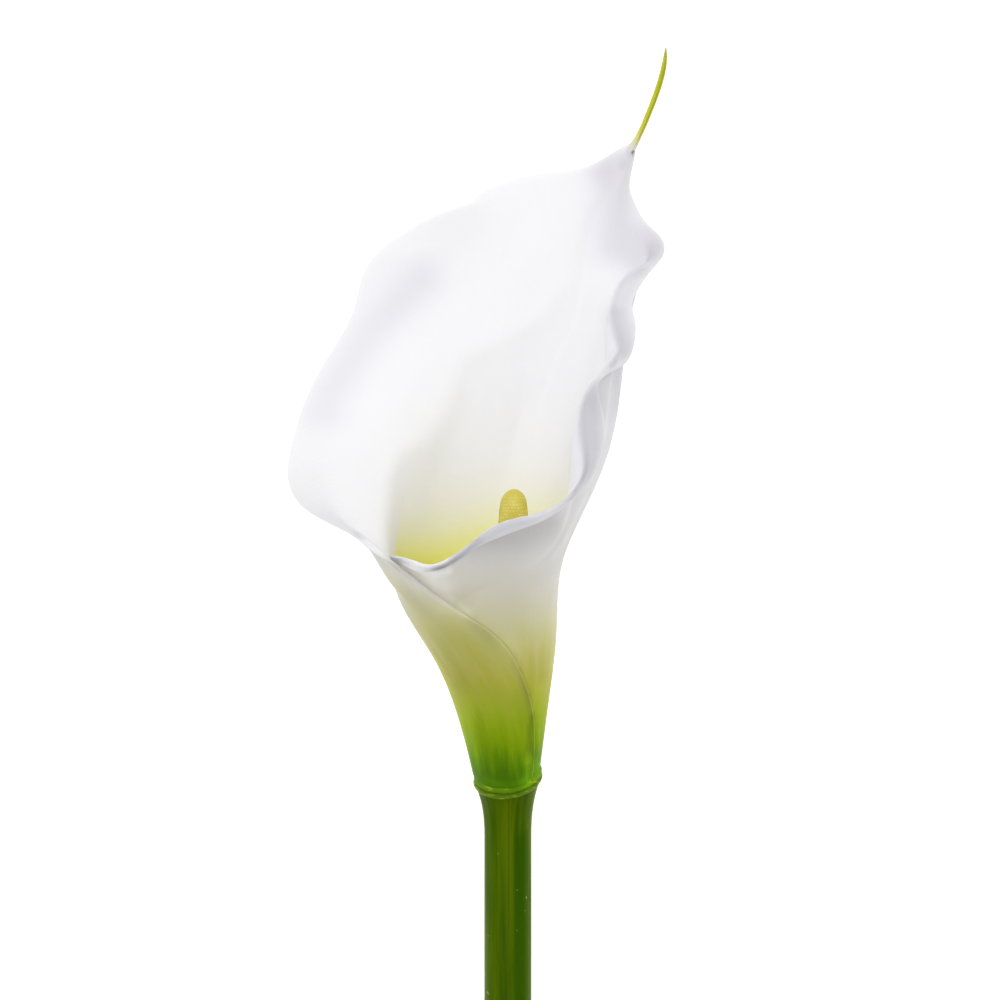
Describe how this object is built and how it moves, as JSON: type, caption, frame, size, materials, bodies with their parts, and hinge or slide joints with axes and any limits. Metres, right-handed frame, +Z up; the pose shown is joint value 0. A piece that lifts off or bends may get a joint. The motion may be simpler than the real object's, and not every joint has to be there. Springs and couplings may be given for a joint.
{
  "type": "calla lily flower",
  "caption": "Cut calla lily lying on its back: a white funnel-shaped spathe with a curled rim and green base round a yellow spadix, on a smooth green stem.",
  "frame": {"origin": "on the surface that the flower lies on, under the middle of its bounding box", "axes": "+Y runs along the stem from its cut end to the tip of the spathe, +X to the side of the small scalloped rim, +Z up, out of the open funnel"},
  "size_m": [0.0926, 0.3912, 0.0738],
  "materials": {
    "stem_green": "smooth olive green plant stem with a soft waxy sheen",
    "spathe_white": "satin white petal-like leaf, yellow in the throat and green at the base",
    "spadix_yellow": "matte yellow, covered in fine florets"
  },
  "bodies": {
    "root": {"stem": "stem_green", "spathe": "spathe_white", "spadix": "spadix_yellow"}
  },
  "joints": []
}
